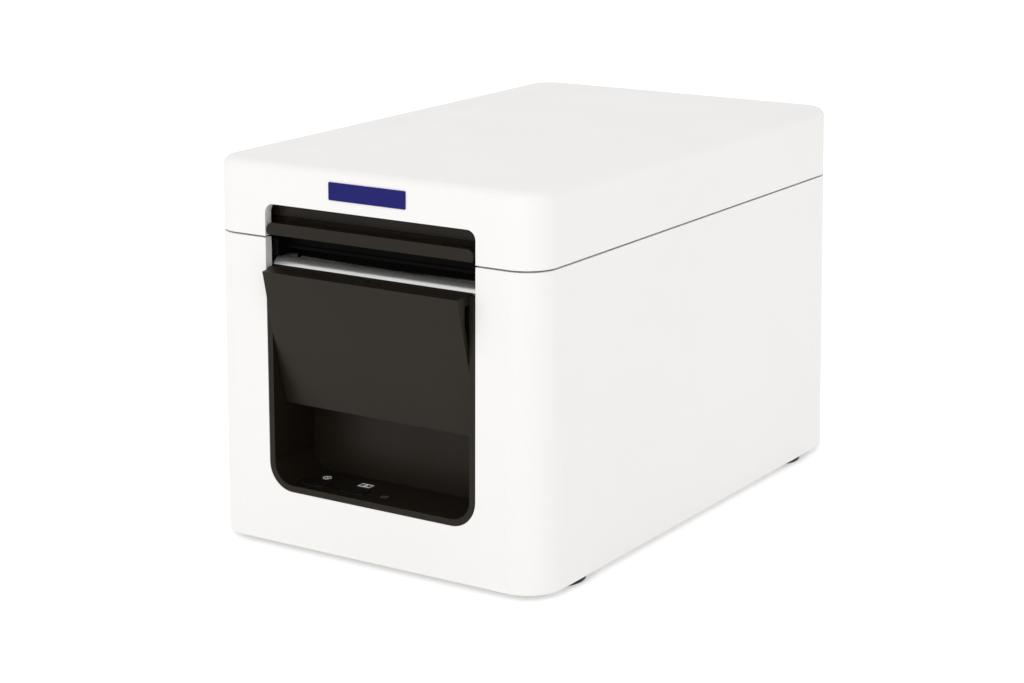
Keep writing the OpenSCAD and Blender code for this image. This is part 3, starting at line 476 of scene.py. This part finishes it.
def add_coils(name, coils, wire, body, node, material):
    """One piece made of several wire coils, standing for a CAD node."""
    curve = bpy.data.curves.new(name, "CURVE")
    curve.dimensions = "3D"
    curve.bevel_depth = wire
    curve.bevel_resolution = 3
    curve.use_fill_caps = True
    for points in coils:
        spline = curve.splines.new("POLY")
        spline.points.add(len(points) - 1)
        for point, place in zip(spline.points, points):
            point.co = (*place, 1)
        spline.use_smooth = True
    curve.materials.append(material)
    piece = bpy.data.objects.new(name, curve)
    scene.collection.objects.link(piece)
    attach(piece, body)
    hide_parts(node)


def add_springs(material):
    """Two upright coils under the print head, and two round the lever's tube."""
    low, high = (Vector(corner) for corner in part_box("head_springs"))
    radius = (high.y - low.y) / 2 - HEAD_WIRE
    pitch = (high.z - low.z - 2 * HEAD_WIRE) / TURNS
    middle_y, start_z = (low.y + high.y) / 2, low.z + HEAD_WIRE
    coils = [
        helix(Vector((x, middle_y, start_z)), Vector((0, 0, 1)), radius, pitch)
        for x in (low.x + radius + HEAD_WIRE, high.x - radius - HEAD_WIRE)
    ]
    add_coils("head_coils", coils, HEAD_WIRE, "base", "head_springs", material)

    low, high = (Vector(corner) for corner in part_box("lever_springs"))
    radius = (high.z - low.z) / 2 - LEVER_WIRE
    middle_y, middle_z = (low.y + high.y) / 2, (low.z + high.z) / 2
    coils = [
        helix(Vector((x, middle_y, middle_z)), Vector((1, 0, 0)), radius, LEVER_COIL_LENGTH / TURNS)
        for x in (low.x + LEVER_WIRE, high.x - LEVER_COIL_LENGTH - LEVER_WIRE)
    ]
    add_coils("lever_coils", coils, LEVER_WIRE, "top_cover", "lever_springs", material)


# ------------------------------------------------------------------ studio

WORLD_STRENGTH = 1.0
FLOOR_HALF = 6.0
FLOOR_GLOW = 0.25
# A large square lamp in front of the printer (-y), above it and a little towards +x.
KEY_SIZE = 0.75
KEY_POWER = 3.3
KEY_PLACE = Vector((0.22, -1.22, 0.72))
KEY_AIM = Vector((0, 0, 0.05))


def add_world():
    world = bpy.data.worlds.new("studio")
    world.use_nodes = True
    sky = world.node_tree.nodes["Background"]
    sky.inputs["Color"].default_value = (1, 1, 1, 1)
    sky.inputs["Strength"].default_value = WORLD_STRENGTH
    scene.world = world


def add_floor():
    """Pale floor with a faint glow, so that it stays as white as the background."""
    half = FLOOR_HALF
    mesh = bpy.data.meshes.new("floor")
    corners = [(-half, -half, 0), (half, -half, 0), (half, half, 0), (-half, half, 0)]
    mesh.from_pydata(corners, [], [(0, 1, 2, 3)])
    floor = bpy.data.objects.new("floor", mesh)
    scene.collection.objects.link(floor)
    s = Shader(
        "floor", (0.9, 0.9, 0.9), 0.6, Specular_IOR_Level=0.2,
        Emission_Color=(1, 1, 1, 1), Emission_Strength=FLOOR_GLOW,
    )
    s.vary_color(s.noise(3, 2), (0.9, 0.9, 0.9), (0.88, 0.88, 0.88))
    mesh.materials.append(s.material)


def add_key_light():
    lamp = bpy.data.lights.new("key", "AREA")
    lamp.shape = "SQUARE"
    lamp.size = KEY_SIZE
    lamp.energy = KEY_POWER
    key = bpy.data.objects.new("key", lamp)
    key.location = KEY_PLACE
    key.rotation_euler = (KEY_PLACE - KEY_AIM).to_track_quat("Z", "Y").to_euler()
    scene.collection.objects.link(key)


add_camera()
add_world()
add_floor()
add_key_light()
materials = {make.__name__: make().material for make in SLOT_MATERIALS}
dress_nodes(materials)
add_springs(materials["spring_steel"])
